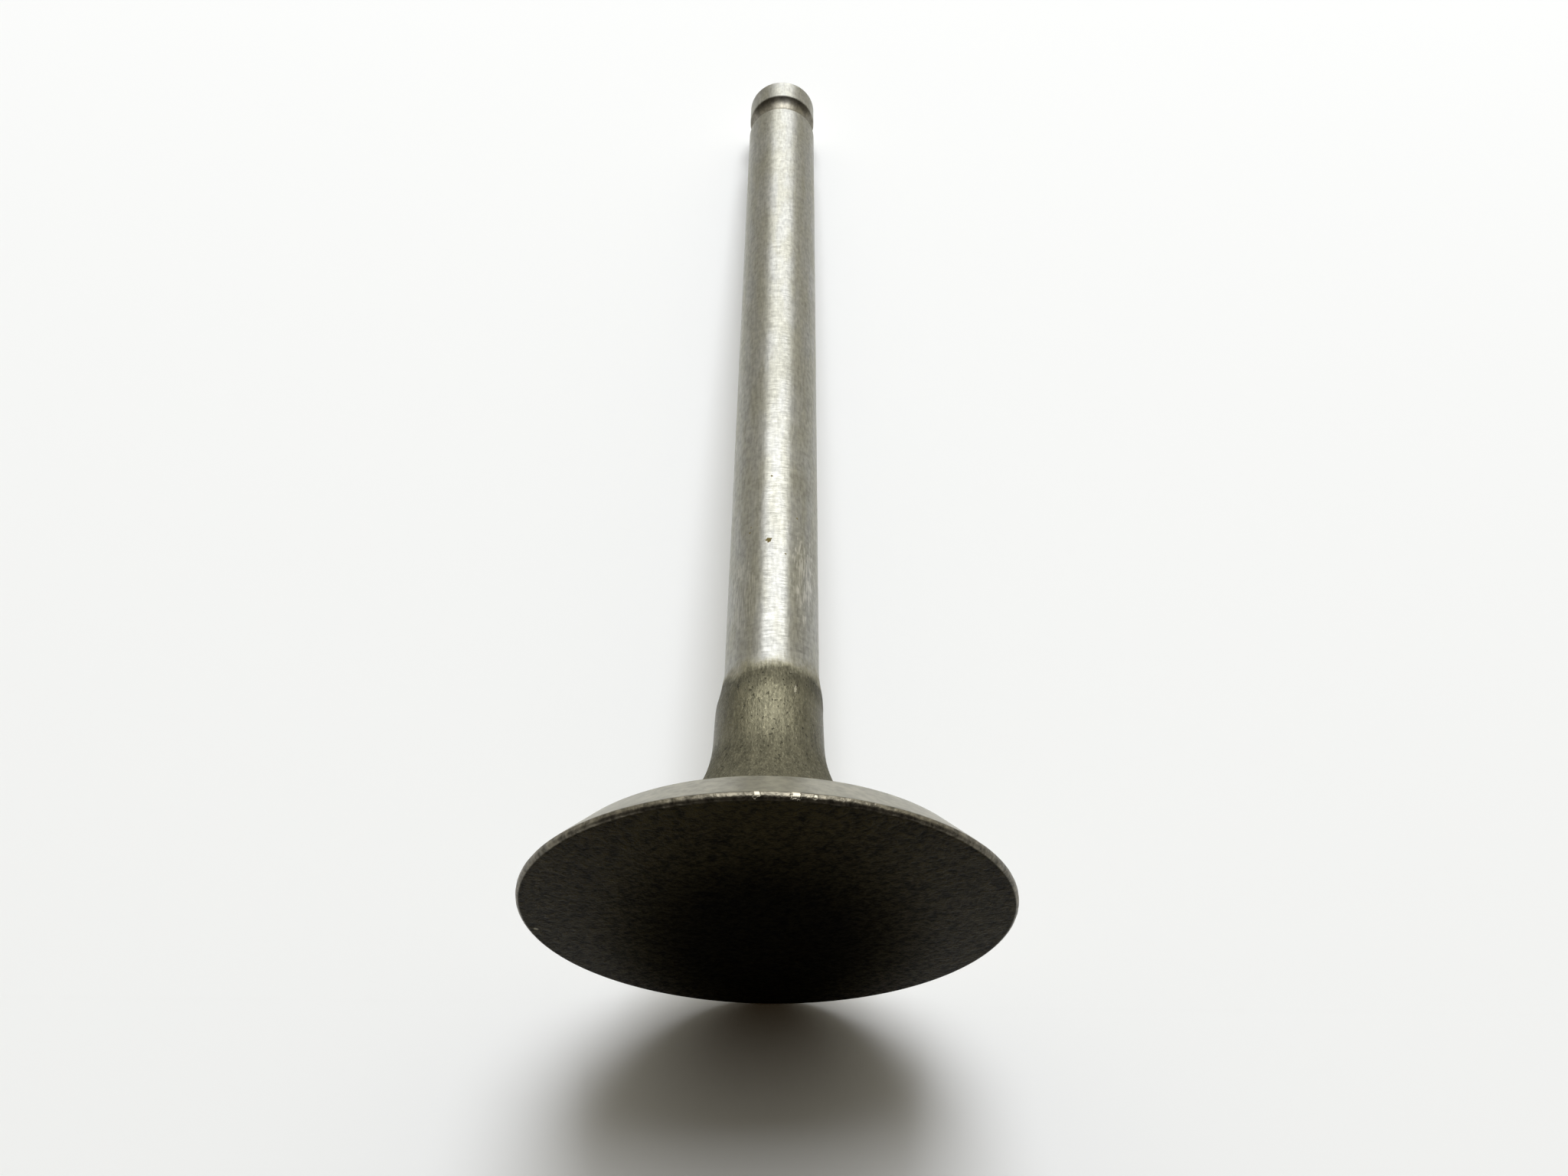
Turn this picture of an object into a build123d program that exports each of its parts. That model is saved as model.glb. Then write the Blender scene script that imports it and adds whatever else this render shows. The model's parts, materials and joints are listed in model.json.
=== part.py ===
"""Engine poppet valve: one steel forging, turned and ground, made as one solid of revolution.

Millimetres, +Z along the stem from the head to the tip. The origin is the centre of the flat head
face, on which the valve stands.
"""
from build123d import *
import os
from math import cos, radians, sin, tan

NODE = "engine_valve"

# Overall
LENGTH = 95.4  # head face to the end of the tip

# Head
HEAD_DIAMETER = 32.1
FACE_EDGE_RADIUS = 0.3  # rounds the corner between the head face and the margin
MARGIN_HEIGHT = 0.48  # where the seat begins, above the head face
SEAT_ANGLE = 44.0  # ground seat, from the plane of the head face
SEAT_WIDTH = 3.25  # ground seat, along its slope
SEAT_EDGE_RADIUS = 0.15  # softens the corner between the margin and the seat
BACK_ANGLE = 18.0  # back of the head, from the plane of the head face
HEAD_FILLET_RADIUS = 9.6  # hollow between the back of the head and the neck

# Neck, left as forged
NECK_DIAMETER = 7.73  # at the shoulder, where the neck is thinnest
NECK_DRAFT = 1.5  # degrees by which each side leans out towards the head
NECK_SHOULDER_RADIUS = 3.0  # between the neck and the taper

# Taper between the neck and the ground stem
TAPER_LENGTH = 2.75
STEM_START = 18.5  # where the ground stem begins, above the head face
STEM_START_RADIUS = 6.0  # run-out of the grinding wheel

# Ground stem, keeper groove and tip
STEM_DIAMETER = 6.98
TIP_LENGTH = 3.13  # from the keeper groove to the end of the tip
TIP_CHAMFER = 0.5
GROOVE_WIDTH = 2.65
GROOVE_DEPTH = 0.68

HEAD_RADIUS = HEAD_DIAMETER / 2
NECK_RADIUS = NECK_DIAMETER / 2
STEM_RADIUS = STEM_DIAMETER / 2


def seat_top():
    """Inner, upper edge of the ground seat."""
    slope = radians(SEAT_ANGLE)
    return (HEAD_RADIUS - SEAT_WIDTH * cos(slope), MARGIN_HEIGHT + SEAT_WIDTH * sin(slope))


def neck_shoulder():
    """Upper end of the neck, where the taper begins."""
    return (NECK_RADIUS, STEM_START - TAPER_LENGTH)


def head_root():
    """Sharp corner at which the back of the head and the side of the neck would meet."""
    edge_radius, edge_height = seat_top()
    radius, height = neck_shoulder()
    back_slope = tan(radians(BACK_ANGLE))
    neck_slope = tan(radians(NECK_DRAFT))
    above_back = height - edge_height - (edge_radius - radius) * back_slope
    drop = above_back / (1 - neck_slope * back_slope)
    return (radius + drop * neck_slope, height - drop)


def corner(point):
    """Vertex of the section that lies at a corner of its outline."""
    return vertices().sort_by_distance(point)[0]


def groove_arc():
    """Centre and radius of the round cut that forms the keeper groove."""
    radius = (GROOVE_WIDTH**2 / 4 + GROOVE_DEPTH**2) / (2 * GROOVE_DEPTH)
    height = LENGTH - TIP_LENGTH - GROOVE_WIDTH / 2
    return (STEM_RADIUS - GROOVE_DEPTH + radius, height), radius


face_edge = (HEAD_RADIUS, 0)
seat_edge = (HEAD_RADIUS, MARGIN_HEIGHT)
stem_start = (STEM_RADIUS, STEM_START)
tip_edge = (STEM_RADIUS, LENGTH)
groove_centre, groove_radius = groove_arc()

with BuildPart() as valve:
    # Half section in the XZ plane, from the axis out
    with BuildSketch(Plane.XZ):
        with BuildLine():
            Polyline(
                (0, 0),
                face_edge,
                seat_edge,
                seat_top(),
                head_root(),
                neck_shoulder(),
                stem_start,
                tip_edge,
                (0, LENGTH),
                close=True,
            )
        make_face()
        fillet(corner(face_edge), FACE_EDGE_RADIUS)
        fillet(corner(seat_edge), SEAT_EDGE_RADIUS)
        fillet(corner(head_root()), HEAD_FILLET_RADIUS)
        fillet(corner(neck_shoulder()), NECK_SHOULDER_RADIUS)
        fillet(corner(stem_start), STEM_START_RADIUS)
        chamfer(corner(tip_edge), TIP_CHAMFER)
        with Locations(groove_centre):
            Circle(groove_radius, mode=Mode.SUBTRACT)
    revolve(axis=Axis.Z)

valve.part.label = NODE
os.makedirs("parts", exist_ok=True)
export_step(valve.part, f"parts/{NODE}.step")
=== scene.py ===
"""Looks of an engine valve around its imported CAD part: metres, +Z along the stem, head face at z = 0.

The valve stands on its head face. Behind it a sheet of pale paper touches its rim and its tip, as a table
does under a valve that was laid down on it, and the camera looks up past the head face along the stem.
"""
import json
import math

import bpy
from mathutils import Matrix, Vector, noise


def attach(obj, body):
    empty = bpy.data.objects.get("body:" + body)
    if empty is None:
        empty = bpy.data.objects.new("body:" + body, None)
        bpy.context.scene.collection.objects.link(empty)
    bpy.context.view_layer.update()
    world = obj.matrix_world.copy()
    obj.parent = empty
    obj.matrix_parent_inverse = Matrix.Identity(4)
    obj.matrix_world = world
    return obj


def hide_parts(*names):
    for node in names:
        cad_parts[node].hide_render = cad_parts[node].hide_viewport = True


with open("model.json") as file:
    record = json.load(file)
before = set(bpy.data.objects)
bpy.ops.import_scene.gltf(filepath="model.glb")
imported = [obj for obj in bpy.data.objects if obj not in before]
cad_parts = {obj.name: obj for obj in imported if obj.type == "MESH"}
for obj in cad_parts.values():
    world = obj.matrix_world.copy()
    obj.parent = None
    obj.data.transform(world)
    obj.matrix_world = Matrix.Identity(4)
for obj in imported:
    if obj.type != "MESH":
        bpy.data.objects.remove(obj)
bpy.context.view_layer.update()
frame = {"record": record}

MM = 0.001
NODE = "engine_valve"

# The valve's own sizes in millimetres, as the CAD part has them
MOUNTS = {mount["name"]: mount for mount in frame["record"]["mounts"]}
LENGTH = MOUNTS["tip_face"]["pos_m"][2] / MM
STEM_RADIUS = MOUNTS["stem"]["dims"]["r_mm"]
HEAD_RADIUS = 16.05
FACE_EDGE_RADIUS = 0.3
MARGIN_HEIGHT = 0.48
SEAT_ANGLE = math.radians(44)
SEAT_WIDTH = 3.25
SEAT_EDGE_RADIUS = 0.15
BACK_ANGLE = math.radians(18)
HEAD_FILLET_RADIUS = 9.6
NECK_RADIUS = 3.865
NECK_DRAFT = math.radians(1.5)
NECK_SHOULDER_RADIUS = 3.0
TAPER_LENGTH = 2.75
STEM_START = 18.5
STEM_START_RADIUS = 6.0
TIP_LENGTH = 3.13
TIP_CHAMFER = 0.5
GROOVE_WIDTH = 2.65
GROOVE_DEPTH = 0.68

SEAT_TOP_RADIUS = HEAD_RADIUS - SEAT_WIDTH * math.cos(SEAT_ANGLE)
SEAT_TOP_HEIGHT = MARGIN_HEIGHT + SEAT_WIDTH * math.sin(SEAT_ANGLE)
SHOULDER_HEIGHT = STEM_START - TAPER_LENGTH
GROOVE_TOP = LENGTH - TIP_LENGTH
GROOVE_BOTTOM = GROOVE_TOP - GROOVE_WIDTH

# Finer form of the real piece
EDGE_BREAK = 0.06  # sharp turned edges, broken on a stone
FORGING_OFFSET = 0.12  # by which the forged neck and back are off the ground stem's axis
FORGING_UNEVENNESS = 0.018  # hollows and bumps of the forged skin
FORGING_WAVE = 1.6  # their size
FORGING_START = (SEAT_TOP_HEIGHT, SEAT_TOP_HEIGHT + 1.5)  # heights over which the forging begins
FORGING_END = (15.0, 17.0)
RIM_WEAR = 0.02  # worn dents along the margin
RIM_WEAR_WAVE = 0.9  # their size
RIM_WEAR_START = (0.0, 0.2)
RIM_WEAR_END = (MARGIN_HEIGHT, MARGIN_HEIGHT + 0.3)

# Heights over which one finish gives way to the next
GRIND_END = 17.1  # the ground stem's end, towards the neck
FACE_TO_MARGIN = (0.0, 0.05)
MARGIN_TO_SEAT = (MARGIN_HEIGHT - 0.05, MARGIN_HEIGHT + 0.08)
SEAT_TO_SKIN = (SEAT_TOP_HEIGHT - 0.03, SEAT_TOP_HEIGHT + 0.03)
SKIN_TO_STEM = (GRIND_END - 0.55, GRIND_END + 0.55)
RUN_OUT = (GRIND_END - 0.1, GRIND_END + 1.5)  # from the dull run-out of the grinding to the clean stem
STEM_TO_GROOVE = (GROOVE_BOTTOM - 0.02, GROOVE_BOTTOM + 0.08)
GROOVE_TO_TIP = (GROOVE_TOP - 0.08, GROOVE_TOP + 0.02)

# Heights over which one finish changes
HEAD_BACK_TO_NECK = (9.5, 13.0)  # the forged skin turns smoother
SCORCH = (14.4, 16.4)  # the forged skin turns rougher again
DARK_BAND = (15.3, 16.3)  # the forged skin turns darker, just below the ground stem
BAND_DARKNESS = 0.25
RUBBED_TO_DULL = (36.0, 50.0)  # the ground stem turns paler and duller

# Painted shade on the head face: its middle is darker and duller, standing in for the shadow that the face
# mirrors
PAINTED_SHADE_OFFSET = 4.5  # of its middle behind the middle of the face
PAINTED_SHADE_LENGTH = 1.6  # from front to back, times its width
PAINTED_SHADE_RADII = (4.5, 13.0)  # across: densest within the first, gone beyond the second
PAINTED_SHADE_SHARE = 0.12  # of the oxide's colour left where the patch is densest
PAINTED_SHADE_DULLNESS = 0.5  # by which it roughens the oxide

# Colours of the finishes
GROUND_STEEL = (0.41, 0.405, 0.375)
SMEARED_STEEL = (0.385, 0.376, 0.325)
RUN_OUT_TINT = (0.72, 0.69, 0.56)  # times the colour of the ground stem
GRIME_AND_SHADE_TINT = (0.5, 0.475, 0.43)  # times the colour of the ground stem in the groove: grime and painted shade
FORGED_STEEL = (0.111, 0.103, 0.069)
SEAT_STEEL = (0.315, 0.297, 0.232)
MARGIN_STEEL = (0.15, 0.136, 0.104)
OXIDE = (0.0244, 0.0189, 0.0068)
DIRT = (0.16, 0.128, 0.052)
RUBBED_STEEL = (0.75, 0.735, 0.68)
SLIVER_STEEL = (0.33, 0.31, 0.24)
NICK_STEEL = (0.2, 0.18, 0.12)
# painted highlight: the lighter colour of spots along the margin where it glints
PAINTED_HIGHLIGHT_STEEL = (0.3, 0.275, 0.215)
MATT_GLOSS = 0.012  # specular level of what isn't bare metal, above all the oxide, which is all but matt

# Marks: angles in degrees from the front towards the right, other values in millimetres
STEM_SPECKS = (  # angle, height, size
    (-6.4, 29.0, 0.27),
    (-4.2, 35.7, 0.11),
    (30.8, 31.6, 0.1),
    (15.2, 27.7, 0.09),
    (-32.3, 30.1, 0.09),
    (-30.8, 30.6, 0.07),
)
STEM_RUBS = ((43.0, 25.9, 1.2, 0.75), (-40.0, 24.2, 1.2, 0.35))  # angle, height, size, strength
RUB_TALLNESS = 3.2
NECK_SLIVER = (26.5, 3.83, 15.4)  # angle, radius, height
SLIVER_SIZE = 0.12
SLIVER_TALLNESS = 3.0
RIM_NICK = (-98.0, 15.4, 0.0)  # angle, radius, height
NICK_SIZE = 0.17
PAINTED_RIM_HIGHLIGHTS = ((-1.9, 0.3, 0.27), (5.9, 0.3, 0.3), (9.7, 0.28, 0.16))  # painted highlights, lighter spots along the margin where it glints: angle, height, size
SPOT_CORE = 0.7  # share of a mark's size within which it is whole
SPOT_RAGGEDNESS = 0.35  # of its edge, as a share of its size
SPOT_WAVE = 0.7  # size of the ragged bits, as a share of its size

# Mesh density
SEGMENTS = 320
ROW = 0.35  # rows of the face, seat, back and neck
STEM_ROW = 1.6
ARC_TURN = math.radians(4)  # turn of an arc for each of its rows
EDGE_ROW = 0.03  # a narrow row at each end of a straight run, which keeps its shading flat

# Camera
CAMERA_AZIMUTH = math.radians(45)
CAMERA_STANDOFF = 75.0
CAMERA_HEIGHT = -31.57
CAMERA_SIDESTEP = 0.83
CAMERA_PITCH = math.radians(38.0)
CAMERA_ROLL = math.radians(0.675)
LENS_MM = 28.0
SENSOR_WIDTH_MM = 36.0

FRONT = Vector((math.sin(CAMERA_AZIMUTH), -math.cos(CAMERA_AZIMUTH), 0))
RIGHT = Vector((math.cos(CAMERA_AZIMUTH), math.sin(CAMERA_AZIMUTH), 0))
UP = Vector((0, 0, 1))


def smooth(value, start, end):
    """0 before start, 1 after end, and a smooth rise between them."""
    share = min(max((value - start) / (end - start), 0), 1)
    return share * share * (3 - 2 * share)


# ---------------------------------------------------------------- outline, as (radius, height) points


def head_root():
    """Sharp corner at which the back of the head and the side of the neck would meet."""
    back_slope = math.tan(BACK_ANGLE)
    neck_slope = math.tan(NECK_DRAFT)
    above_back = SHOULDER_HEIGHT - SEAT_TOP_HEIGHT - (SEAT_TOP_RADIUS - NECK_RADIUS) * back_slope
    drop = above_back / (1 - neck_slope * back_slope)
    return (NECK_RADIUS + drop * neck_slope, SHOULDER_HEIGHT - drop)


def arc_rows(centre, start, turn):
    """Points of an arc about centre, from the point start through a turn in radians."""
    arm = Vector(start) - Vector(centre)
    rows = max(2, math.ceil(abs(turn) / ARC_TURN))
    return [
        tuple(Vector(centre) + Matrix.Rotation(turn * row / rows, 2) @ arm) for row in range(rows + 1)
    ]


def rounded(before, corner, after, radius):
    """Points of the arc that rounds a corner of the outline."""
    corner = Vector(corner)
    inward = (Vector(before) - corner).normalized()
    onward = (Vector(after) - corner).normalized()
    half_angle = inward.angle(onward) / 2
    start = corner + inward * radius / math.tan(half_angle)
    centre = corner + (inward + onward).normalized() * radius / math.sin(half_angle)
    turn = math.copysign(math.pi - 2 * half_angle, inward.x * onward.y - inward.y * onward.x)
    return arc_rows(centre, start, -turn)


def straight_rows(start, end, spacing):
    """Points between start and end, without them, with a narrow row at each end."""
    start, end = Vector(start), Vector(end)
    length = (end - start).length
    if length < 3 * EDGE_ROW:
        return []
    rows = max(1, round((length - 2 * EDGE_ROW) / spacing))
    reach = [EDGE_ROW + (length - 2 * EDGE_ROW) * row / rows for row in range(rows + 1)]
    return [tuple(start.lerp(end, distance / length)) for distance in reach]


def outline(corners):
    """Rows of the section through corners given as (radius, height, rounding, spacing to the next)."""
    points = [corners[0][:2]]
    last = corners[0]
    for before, corner, after in zip(corners, corners[1:], corners[2:]):
        arc = rounded(before[:2], corner[:2], after[:2], corner[2])
        points += straight_rows(points[-1], arc[0], last[3]) + arc
        last = corner
    return points + straight_rows(points[-1], corners[-1][:2], last[3]) + [corners[-1][:2]]


def groove_rows():
    """Rows of the round keeper groove, from its lower edge to its upper one."""
    radius = (GROOVE_WIDTH**2 / 4 + GROOVE_DEPTH**2) / (2 * GROOVE_DEPTH)
    centre = (STEM_RADIUS - GROOVE_DEPTH + radius, (GROOVE_TOP + GROOVE_BOTTOM) / 2)
    reach = math.asin((GROOVE_WIDTH / 2 - EDGE_BREAK / 2) / radius)
    start = (centre[0] - radius * math.cos(reach), centre[1] - radius * math.sin(reach))
    return arc_rows(centre, start, -2 * reach)


def valve_rows():
    """Rows of the whole half section, from the centre of the head face to the centre of the tip."""
    below_groove = outline([
        (0, 0, 0, ROW),
        (HEAD_RADIUS, 0, FACE_EDGE_RADIUS, ROW),
        (HEAD_RADIUS, MARGIN_HEIGHT, SEAT_EDGE_RADIUS, ROW),
        (SEAT_TOP_RADIUS, SEAT_TOP_HEIGHT, EDGE_BREAK, ROW),
        (*head_root(), HEAD_FILLET_RADIUS, ROW),
        (NECK_RADIUS, SHOULDER_HEIGHT, NECK_SHOULDER_RADIUS, ROW),
        (STEM_RADIUS, STEM_START, STEM_START_RADIUS, STEM_ROW),
        (STEM_RADIUS, GROOVE_BOTTOM - EDGE_BREAK, 0, 0),
    ])
    above_groove = outline([
        (STEM_RADIUS, GROOVE_TOP + EDGE_BREAK, 0, ROW),
        (STEM_RADIUS, LENGTH - TIP_CHAMFER, EDGE_BREAK, ROW),
        (STEM_RADIUS - TIP_CHAMFER, LENGTH, EDGE_BREAK, ROW),
        (0, LENGTH, 0, 0),
    ])
    return below_groove + groove_rows() + above_groove


# ---------------------------------------------------------------- mesh of the valve


def forged_share(height):
    """1 on the forged back and neck, 0 on what was ground afterwards."""
    return smooth(height, *FORGING_START) * (1 - smooth(height, *FORGING_END))


def worn(point):
    """A point of the true form, in millimetres, moved as forging and wear left it."""
    height = point.z
    outward = Vector((point.x, point.y, 0)).normalized()
    forged = forged_share(height)
    lump = noise.noise(point / FORGING_WAVE)
    point = point - RIGHT * FORGING_OFFSET * forged + outward * FORGING_UNEVENNESS * forged * lump
    margin = smooth(height, *RIM_WEAR_START) * (1 - smooth(height, *RIM_WEAR_END))
    dent = max(noise.noise(point / RIM_WEAR_WAVE), 0)
    return point - outward * RIM_WEAR * margin * dent


def build_valve():
    """Mesh of the whole valve: rings of points joined by quads, with a fan at each end."""
    rows = valve_rows()
    rings = rows[1:-1]
    points = [Vector((0, 0, 0))]
    for radius, height in rings:
        for step in range(SEGMENTS):
            turn = math.tau * step / SEGMENTS
            points.append(worn(Vector((radius * math.cos(turn), radius * math.sin(turn), height))))
    points.append(Vector((0, 0, LENGTH)))
    faces = []
    last = len(points) - 1
    for step in range(SEGMENTS):
        ahead = (step + 1) % SEGMENTS
        faces.append((0, 1 + ahead, 1 + step))
        for ring in range(len(rings) - 1):
            low = 1 + ring * SEGMENTS
            high = low + SEGMENTS
            faces.append((low + step, low + ahead, high + ahead, high + step))
        top = 1 + (len(rings) - 1) * SEGMENTS
        faces.append((top + step, top + ahead, last))
    mesh = bpy.data.meshes.new("valve")
    mesh.from_pydata([point * MM for point in points], [], faces)
    mesh.shade_smooth()
    valve = bpy.data.objects.new("valve", mesh)
    bpy.context.scene.collection.objects.link(valve)
    return valve


# ---------------------------------------------------------------- node trees


class Tree:
    """Short calls that add nodes to a node tree and give back their output sockets."""

    def __init__(self, owner):
        owner.use_nodes = True
        self.nodes = owner.node_tree.nodes
        self.links = owner.node_tree.links
        self.nodes.clear()

    def put(self, socket, value):
        """Links a socket to another, or sets its own value."""
        if isinstance(value, bpy.types.NodeSocket):
            self.links.new(value, socket)
        elif isinstance(value, (tuple, list)) and len(value) == 3 and len(socket.default_value) == 4:
            socket.default_value = (*value, 1)
        else:
            socket.default_value = value

    def node(self, kind, inputs=None, **settings):
        made = self.nodes.new(kind)
        for name, value in settings.items():
            setattr(made, name, value)
        for name, value in (inputs or {}).items():
            self.put(made.inputs[name], value)
        return made

    def maths(self, operation, *values):
        return self.node("ShaderNodeMath", dict(enumerate(values)), operation=operation).outputs[0]

    def plus(self, first, second):
        return self.maths("ADD", first, second)

    def times(self, first, second):
        return self.maths("MULTIPLY", first, second)

    def vector(self, operation, *values):
        return self.node("ShaderNodeVectorMath", dict(enumerate(values)), operation=operation).outputs[0]

    def measure(self, operation, *values):
        """A length or a dot product of vectors."""
        made = self.node("ShaderNodeVectorMath", dict(enumerate(values)), operation=operation)
        return made.outputs["Value"]

    def rise(self, value, start, end, low=0.0, high=1.0):
        """low before start, high after end, and a smooth change between them."""
        inputs = {"Value": value, "From Min": start, "From Max": end, "To Min": low, "To Max": high}
        return self.node("ShaderNodeMapRange", inputs, interpolation_type="SMOOTHSTEP").outputs[0]

    def spread(self, value, low, high):
        """A noise, most of which lies between 0.3 and 0.7, stretched to run from low to high."""
        return self.rise(value, 0.3, 0.7, low, high)

    def blend(self, share, low, high):
        """Numbers mixed by share."""
        return self.node("ShaderNodeMix", {0: share, 2: low, 3: high}, data_type="FLOAT").outputs[0]

    def tint(self, share, low, high):
        """Colours mixed by share."""
        return self.node("ShaderNodeMix", {0: share, 6: low, 7: high}, data_type="RGBA").outputs[2]

    def shade(self, colour, amount):
        """A colour times a number."""
        grey = self.node("ShaderNodeCombineXYZ", {0: amount, 1: amount, 2: amount}).outputs[0]
        return self.vector("MULTIPLY", colour, grey)

    def noise(self, place, size, seed, detail=2.0, roughness=0.5):
        """Noise from 0 to 1 with features of a size in millimetres, one number or one for each axis."""
        sizes = size if isinstance(size, tuple) else (size, size, size)
        scaled = self.vector("MULTIPLY", place, tuple(1 / each for each in sizes))
        moved = self.vector("ADD", scaled, (seed, seed * 1.7, seed * 2.3))
        inputs = {"Vector": moved, "Scale": 1.0, "Detail": detail, "Roughness": roughness}
        return self.node("ShaderNodeTexNoise", inputs).outputs[0]


class Finish:
    """One finish, as sockets or plain values.

    Relief is in millimetres. Ringed is how far fine rings round the axis draw highlights out lengthwise.
    """

    def __init__(self, colour, metal, roughness, relief, ringed=0.0):
        self.colour = colour
        self.metal = metal
        self.roughness = roughness
        self.relief = relief
        self.ringed = ringed

    def under(self, tree, share, other):
        """This finish where share is 0, the other one where it is 1."""
        return Finish(
            tree.tint(share, self.colour, other.colour),
            tree.blend(share, self.metal, other.metal),
            tree.blend(share, self.roughness, other.roughness),
            tree.blend(share, self.relief, other.relief),
            tree.blend(share, self.ringed, other.ringed),
        )


def ground_stem(tree, place, height):
    """Centreless-ground steel: fine rings round the stem, rubbed lengthwise, paler and duller higher up."""
    streaks = tree.noise(place, (0.14, 0.14, 1.1), seed=3.1, detail=3)
    mottle = tree.noise(place, (0.3, 0.3, 0.5), seed=6.6, detail=3)
    smears = tree.noise(place, (1.1, 1.1, 5.0), seed=9.4)
    rings = tree.noise(place, (1.0, 1.0, 0.08), seed=17.2, detail=3)
    colour = tree.tint(tree.rise(smears, 0.35, 0.65), GROUND_STEEL, SMEARED_STEEL)
    amount = tree.plus(tree.spread(streaks, 0.87, 1.12), tree.spread(mottle, -0.13, 0.13))
    amount = tree.plus(amount, tree.rise(height, *RUBBED_TO_DULL, 0.0, 0.1))
    roughness = tree.plus(tree.spread(streaks, 0.44, 0.49), tree.spread(rings, -0.05, 0.08))
    roughness = tree.plus(roughness, tree.rise(height, *RUBBED_TO_DULL, 0.0, 0.065))
    return Finish(tree.shade(colour, amount), 1.0, roughness, tree.times(rings, 0.004), ringed=0.8)


def run_out(finish, tree):
    """The ground finish where it runs out towards the neck, dull and olive."""
    colour = tree.vector("MULTIPLY", finish.colour, RUN_OUT_TINT)
    return Finish(colour, 1.0, tree.plus(finish.roughness, 0.2), finish.relief, ringed=0.2)


def grimy_and_shaded(finish, tree, place):
    """A ground finish darkened in the keeper groove by a film of old oil and by painted shade."""
    film = tree.noise(place, 0.5, seed=27.0, detail=3)
    colour = tree.vector("MULTIPLY", finish.colour, GRIME_AND_SHADE_TINT)
    return Finish(tree.shade(colour, tree.spread(film, 0.85, 1.15)), 1.0, 0.42, finish.relief, ringed=0.5)


def forged_skin(tree, place, height):
    """Dull olive-brown skin of the forging, pitted and speckled."""
    grain = tree.noise(place, (0.12, 0.12, 0.3), seed=5.7, detail=4, roughness=0.7)
    patches = tree.noise(place, (0.35, 0.35, 2.6), seed=12.9, detail=3)
    pits = tree.rise(tree.noise(place, 0.26, seed=21.3, detail=1), 0.67, 0.73)
    flecks = tree.rise(tree.noise(place, (0.12, 0.12, 0.36), seed=23.8, detail=2), 0.52, 0.66)
    amount = tree.plus(tree.rise(grain, 0.25, 0.75, 0.66, 1.34), tree.spread(patches, -0.18, 0.18))
    amount = tree.times(amount, tree.blend(pits, 1.0, 0.45))
    amount = tree.times(amount, tree.rise(height, *DARK_BAND, 1.0, 1.0 - BAND_DARKNESS))
    amount = tree.times(amount, tree.blend(flecks, 0.96, 1.16))
    roughness = tree.rise(height, *HEAD_BACK_TO_NECK, 0.7, 0.32)
    roughness = tree.plus(roughness, tree.rise(height, *SCORCH, 0.0, 0.22))
    roughness = tree.times(roughness, tree.blend(flecks, 1.0, 0.75))
    relief = tree.plus(tree.times(grain, 0.045), tree.times(pits, -0.02))
    return Finish(tree.shade(FORGED_STEEL, amount), 0.8, roughness, relief, ringed=0.3)


def ground_seat(tree, place):
    """Ground seat with faint rings."""
    rings = tree.noise(place, (2.5, 2.5, 0.1), seed=31.0, detail=3)
    patches = tree.noise(place, 0.7, seed=36.0, detail=5, roughness=0.65)
    amount = tree.plus(tree.spread(rings, 0.93, 1.06), tree.spread(patches, -0.22, 0.2))
    return Finish(tree.shade(SEAT_STEEL, amount), 1.0, 0.34, tree.times(rings, 0.002))


def turned_margin(tree, place):
    """Margin, knocked and glinting in short facets."""
    facets = tree.noise(place, 0.45, seed=41.0, detail=3, roughness=0.6)
    colour = tree.shade(MARGIN_STEEL, tree.spread(facets, 0.5, 1.5))
    return Finish(colour, 1.0, 0.42, tree.times(facets, 0.08))


def oxidised_face(tree, place):
    """Dark oxide over a rough grain, darkened and dulled in the middle by a patch of painted shade."""
    grain = tree.noise(place, 0.42, seed=52.0, detail=4, roughness=0.7)
    patches = tree.noise(place, 2.2, seed=57.0)
    amount = tree.plus(tree.spread(grain, 0.2, 1.8), tree.spread(patches, -0.1, 0.12))
    across = tree.measure("DOT_PRODUCT", place, tuple(RIGHT))
    ahead = tree.measure("DOT_PRODUCT", place, tuple(FRONT))
    ahead = tree.maths("DIVIDE", tree.plus(ahead, PAINTED_SHADE_OFFSET), PAINTED_SHADE_LENGTH)
    from_painted_shade = tree.node("ShaderNodeCombineXYZ", {0: across, 1: ahead}).outputs[0]
    away = tree.measure("LENGTH", from_painted_shade)
    # painted shade: the oxide is darker around a point behind the middle of the face
    amount = tree.times(amount, tree.rise(away, *PAINTED_SHADE_RADII, PAINTED_SHADE_SHARE, 1.0))
    roughness = tree.plus(tree.spread(grain, 0.38, 0.22), tree.rise(away, *PAINTED_SHADE_RADII, PAINTED_SHADE_DULLNESS, 0.0))
    return Finish(tree.shade(OXIDE, amount), 0.0, roughness, tree.times(grain, 0.12))


def on_valve(angle, radius, height):
    """Point at an angle in degrees from the front towards the right, a radius and a height."""
    turn = math.radians(angle)
    return FRONT * radius * math.cos(turn) + RIGHT * radius * math.sin(turn) + UP * height


def spot(tree, place, centre, size, tallness=1.0):
    """1 within a ragged spot about centre, 0 outside it. Its size is a radius in millimetres."""
    away = tree.vector("SUBTRACT", place, tuple(centre))
    away = tree.measure("LENGTH", tree.vector("MULTIPLY", away, (1, 1, 1 / tallness)))
    ragged = tree.noise(place, size * SPOT_WAVE, seed=size * 90)
    ragged = tree.rise(ragged, 0.25, 0.75, -SPOT_RAGGEDNESS * size, SPOT_RAGGEDNESS * size)
    return tree.rise(tree.plus(away, ragged), size * SPOT_CORE, size, 1.0, 0.0)


def stained(finish, tree, place):
    """The finish with its specks of brown dirt on the stem."""
    dirt = Finish(DIRT, 0.0, 0.6, finish.relief)
    for angle, height, size in STEM_SPECKS:
        finish = finish.under(tree, spot(tree, place, on_valve(angle, STEM_RADIUS, height), size), dirt)
    return finish


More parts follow.
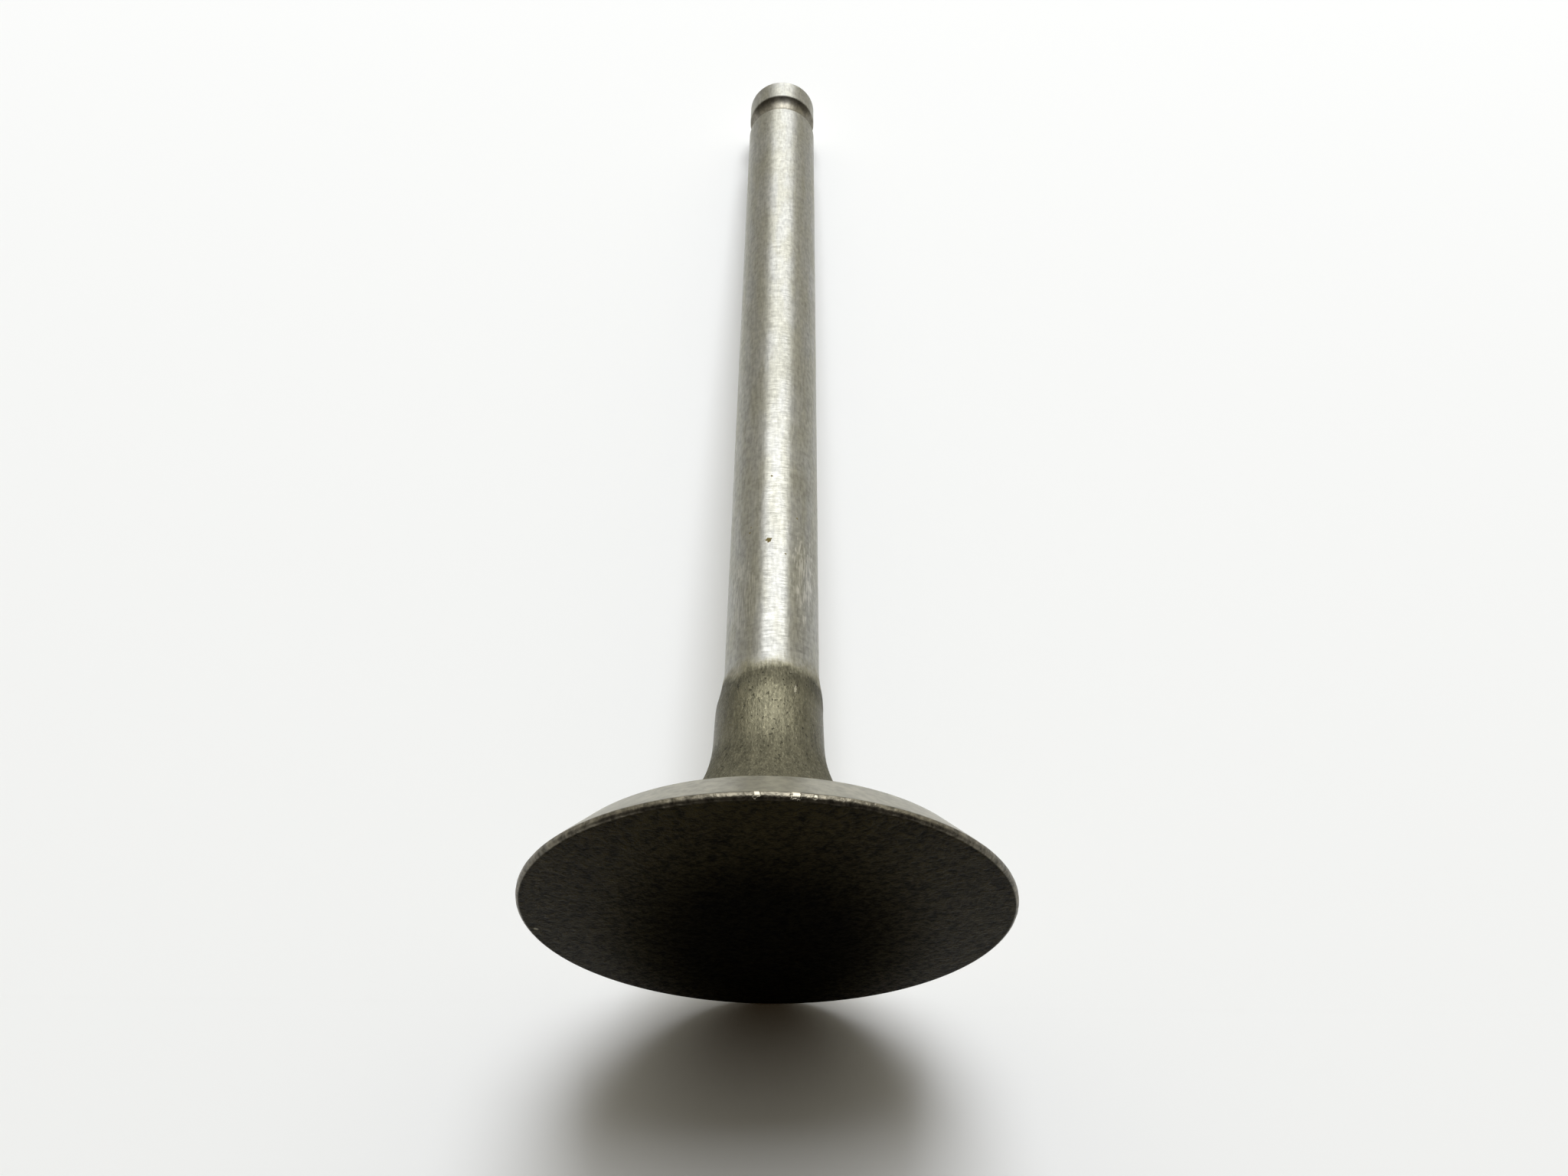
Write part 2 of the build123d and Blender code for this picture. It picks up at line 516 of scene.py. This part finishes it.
def scratched(finish, tree, place):
    """The finish with patches of short bright rubs along the stem."""
    rubs = tree.rise(tree.noise(place, (0.1, 0.1, 1.1), seed=71.0, detail=3), 0.45, 0.62)
    bright = Finish(RUBBED_STEEL, 1.0, 0.5, finish.relief, finish.ringed)
    for angle, height, size, strength in STEM_RUBS:
        patch = spot(tree, place, on_valve(angle, STEM_RADIUS, height), size, RUB_TALLNESS)
        finish = finish.under(tree, tree.times(tree.times(patch, strength), rubs), bright)
    return finish


def knocked(finish, tree, place):
    """The finish with its bright knocks on the neck and beside the rim, and painted highlights along the
    rim.
    """
    sliver = Finish(SLIVER_STEEL, 1.0, 0.5, -0.03)
    on_neck = spot(tree, place, on_valve(*NECK_SLIVER), SLIVER_SIZE, SLIVER_TALLNESS)
    finish = finish.under(tree, on_neck, sliver)
    nick = Finish(NICK_STEEL, 1.0, 0.5, -0.03)
    finish = finish.under(tree, spot(tree, place, on_valve(*RIM_NICK), NICK_SIZE), nick)
    # painted highlights: spots of lighter steel along the rim where it glints
    painted_highlight = Finish(PAINTED_HIGHLIGHT_STEEL, 1.0, 0.38, 0.0)
    for angle, height, size in PAINTED_RIM_HIGHLIGHTS:
        finish = finish.under(tree, spot(tree, place, on_valve(angle, HEAD_RADIUS, height), size), painted_highlight)
    return finish


def whole_stem(tree, place, height, ragged_height):
    """The ground stem with its marks, its dull run-out and its groove, darkened by grime and painted shade.
    """
    stem = ground_stem(tree, place, height)
    near_neck = tree.rise(ragged_height, *RUN_OUT, 1.0, 0.0)
    in_groove = tree.times(
        tree.rise(height, *STEM_TO_GROOVE),
        tree.rise(height, *GROOVE_TO_TIP, 1.0, 0.0),
    )
    marked = stained(scratched(stem, tree, place), tree, place)
    marked = marked.under(tree, near_neck, run_out(stem, tree))
    # grime and painted shade darken the keeper groove
    return marked.under(tree, in_groove, grimy_and_shaded(stem, tree, place))


def whole_valve(tree, place):
    """All finishes, from the head face up to the tip, with the marks on top."""
    height = tree.node("ShaderNodeSeparateXYZ", {0: place}).outputs[2]
    wavy = tree.noise(place, 1.6, seed=60.0, detail=1)
    ragged = tree.noise(place, (0.16, 0.16, 0.4), seed=61.0, detail=3)
    ragged_height = tree.plus(height, tree.rise(wavy, 0.2, 0.8, -0.5, 0.5))
    ragged_height = tree.plus(ragged_height, tree.rise(ragged, 0.2, 0.8, -0.25, 0.25))
    stem = whole_stem(tree, place, height, ragged_height)
    finish = forged_skin(tree, place, height).under(tree, tree.rise(ragged_height, *SKIN_TO_STEM), stem)
    finish = ground_seat(tree, place).under(tree, tree.rise(height, *SEAT_TO_SKIN), finish)
    finish = turned_margin(tree, place).under(tree, tree.rise(height, *MARGIN_TO_SEAT), finish)
    finish = oxidised_face(tree, place).under(tree, tree.rise(height, *FACE_TO_MARGIN), finish)
    return knocked(finish, tree, place)


def valve_material():
    """One material for the whole valve, placed by object coordinates in millimetres."""
    material = bpy.data.materials.new("valve_steel")
    tree = Tree(material)
    place = tree.vector("MULTIPLY", tree.node("ShaderNodeTexCoord").outputs["Object"], (1 / MM,) * 3)
    finish = whole_valve(tree, place)
    bump = tree.node("ShaderNodeBump", {"Strength": 1.0, "Distance": MM, "Height": finish.relief})
    round_axis = tree.node("ShaderNodeTangent", direction_type="RADIAL", axis="Z")
    quarter_turn = 0.25  # from along the rings to across them
    shader = tree.node("ShaderNodeBsdfPrincipled", {
        "Base Color": finish.colour,
        "Metallic": finish.metal,
        "Roughness": finish.roughness,
        "Specular IOR Level": MATT_GLOSS,
        "Normal": bump.outputs[0],
        "Anisotropic": finish.ringed,
        "Anisotropic Rotation": quarter_turn,
        "Tangent": round_axis.outputs[0],
    })
    output = tree.node("ShaderNodeOutputMaterial")
    tree.put(output.inputs["Surface"], shader.outputs[0])
    return material


# ---------------------------------------------------------------- stage, light and camera

PAPER_SIZE = 4000.0
PAPER_COLOUR = (0.94, 0.94, 0.93)
FLOOR_COLOUR = (0.56, 0.56, 0.555)
FLOOR_AHEAD = 700.0  # most of the way to below the lamp: from here on
FLOOR_AHEAD_SHARE = 0.32  # the floor has this share of its colour, so that the nearer lamp doesn't clip it
FLOOR_GAP = 0.02  # between the head face and the floor that it stands on

KEY_ELEVATION = math.radians(32)
KEY_AZIMUTH = math.radians(4.8)  # from straight ahead towards the right
KEY_HEIGHT = 885.0
KEY_COLOUR = (0.97, 1.0, 1.06)
KEY_WIDTH = 645.0  # as the paper is lit by it
KEY_DISTANCE = 1200.0
KEY_RADIANCE = 8.0
GLEAM_WIDTH = 1050.0  # as the steel mirrors it, between its reflecting side panels
GLEAM_DISTANCE = 1203.0  # two lamps in one plane would hide each other
GLEAM_RADIANCE = 5.15

SKY_LIGHT = (0.965, 0.935, 0.81)
GROUND_LIGHT = (0.02, 0.013, 0.006)
ROOM_HORIZON = (-0.15, 0.5)  # heights of a direction, over which ground light gives way to sky light
RIGHT_GAIN = 0.15  # by which the room is brighter on the right than ahead


def one_sided(name, colour, share):
    """Matt in front and clear from behind. Towards the lamp only a share of the colour is left."""
    material = bpy.data.materials.new(name)
    tree = Tree(material)
    geometry = tree.node("ShaderNodeNewGeometry").outputs
    ahead = tree.measure("DOT_PRODUCT", geometry["Position"], tuple(FRONT))
    colour = tree.shade(colour, tree.rise(ahead, 0.0, FLOOR_AHEAD * MM, 1.0, share))
    matt = tree.node("ShaderNodeBsdfDiffuse", {"Color": colour, "Roughness": 0.0}).outputs[0]
    clear = tree.node("ShaderNodeBsdfTransparent").outputs[0]
    mixed = tree.node("ShaderNodeMixShader", {0: geometry["Backfacing"], 1: matt, 2: clear}).outputs[0]
    output = tree.node("ShaderNodeOutputMaterial")
    tree.put(output.inputs["Surface"], mixed)
    return material


def add_sheet(name, centre, across, along, material):
    """Square sheet about centre, facing across x along."""
    half = PAPER_SIZE / 2
    corners = [
        (centre + across * half * side + along * half * end) * MM
        for side, end in ((-1, -1), (1, -1), (1, 1), (-1, 1))
    ]
    mesh = bpy.data.meshes.new(name)
    mesh.from_pydata(corners, [], [(0, 1, 2, 3)])
    mesh.materials.append(material)
    sheet = bpy.data.objects.new(name, mesh)
    bpy.context.scene.collection.objects.link(sheet)
    return sheet


def add_stage():
    """The paper that touches the valve's rim and tip, and the floor that other views see it stand on."""
    at_rim = -FRONT * HEAD_RADIUS + UP * MARGIN_HEIGHT
    at_tip = -FRONT * STEM_RADIUS + UP * (LENGTH - TIP_CHAMFER)
    along = (at_tip - at_rim).normalized()
    add_sheet("paper_sheet", at_rim, RIGHT, along, one_sided("paper", PAPER_COLOUR, 1.0))
    dimmed = one_sided("floor", FLOOR_COLOUR, FLOOR_AHEAD_SHARE)
    floor = add_sheet("floor", -UP * FLOOR_GAP, RIGHT, -FRONT, dimmed)
    floor.visible_diffuse = False
    floor.visible_glossy = False
    floor.visible_transmission = False
    floor.visible_shadow = False


def add_key(name, width, distance, radiance):
    """Soft box in front of the stem and above it, of an even radiance over its face."""
    light = bpy.data.lights.new(name, "AREA")
    light.shape = "RECTANGLE"
    light.size = width * MM
    light.size_y = KEY_HEIGHT * MM
    light.color = KEY_COLOUR
    light.energy = radiance * math.pi * light.size * light.size_y
    key = bpy.data.objects.new(name, light)
    bpy.context.scene.collection.objects.link(key)
    ahead = FRONT * math.cos(KEY_AZIMUTH) + RIGHT * math.sin(KEY_AZIMUTH)
    outward = ahead * math.cos(KEY_ELEVATION) + UP * math.sin(KEY_ELEVATION)
    upward = UP * math.cos(KEY_ELEVATION) - ahead * math.sin(KEY_ELEVATION)
    axes = Matrix((upward.cross(outward), upward, outward)).transposed().to_4x4()
    key.matrix_world = Matrix.Translation((UP * LENGTH / 2 + outward * distance) * MM) @ axes
    key.visible_camera = False
    return key


def add_lamps():
    """The soft box as matt surfaces see it, and as the steel mirrors it, in a band along the stem."""
    add_key("key", KEY_WIDTH, KEY_DISTANCE, KEY_RADIANCE).visible_glossy = False
    add_key("gleam", GLEAM_WIDTH, GLEAM_DISTANCE, GLEAM_RADIANCE).visible_diffuse = False


def add_world():
    """Pale room above and dim ground below."""
    world = bpy.data.worlds.new("room")
    bpy.context.scene.world = world
    tree = Tree(world)
    direction = tree.node("ShaderNodeTexCoord").outputs["Generated"]
    height = tree.node("ShaderNodeSeparateXYZ", {0: direction}).outputs[2]
    colour = tree.tint(tree.rise(height, *ROOM_HORIZON), GROUND_LIGHT, SKY_LIGHT)
    side = tree.measure("DOT_PRODUCT", direction, tuple(RIGHT))
    colour = tree.shade(colour, tree.maths("MULTIPLY_ADD", side, RIGHT_GAIN, 1.0))
    shader = tree.node("ShaderNodeBackground", {"Color": colour})
    output = tree.node("ShaderNodeOutputWorld")
    tree.put(output.inputs["Surface"], shader.outputs[0])


def add_camera():
    """Camera below the head and ahead of it, looking up along the stem."""
    data = bpy.data.cameras.new("camera")
    data.sensor_width = SENSOR_WIDTH_MM
    data.lens = LENS_MM
    data.clip_start = 1 * MM
    data.clip_end = 20
    camera = bpy.data.objects.new("camera", data)
    bpy.context.scene.collection.objects.link(camera)
    toward = -FRONT * math.cos(CAMERA_PITCH) + UP * math.sin(CAMERA_PITCH)
    above = FRONT * math.sin(CAMERA_PITCH) + UP * math.cos(CAMERA_PITCH)
    right = RIGHT * math.cos(CAMERA_ROLL) + above * math.sin(CAMERA_ROLL)
    above = right.cross(toward)
    axes = Matrix((right, above, -toward)).transposed().to_4x4()
    place = FRONT * CAMERA_STANDOFF + RIGHT * CAMERA_SIDESTEP + UP * CAMERA_HEIGHT
    camera.matrix_world = Matrix.Translation(place * MM) @ axes
    bpy.context.scene.camera = camera


valve = build_valve()
valve.data.materials.append(valve_material())
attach(valve, "root")
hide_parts(NODE)

add_stage()
add_lamps()
add_world()
add_camera()
bpy.context.scene.view_settings.view_transform = "Standard"
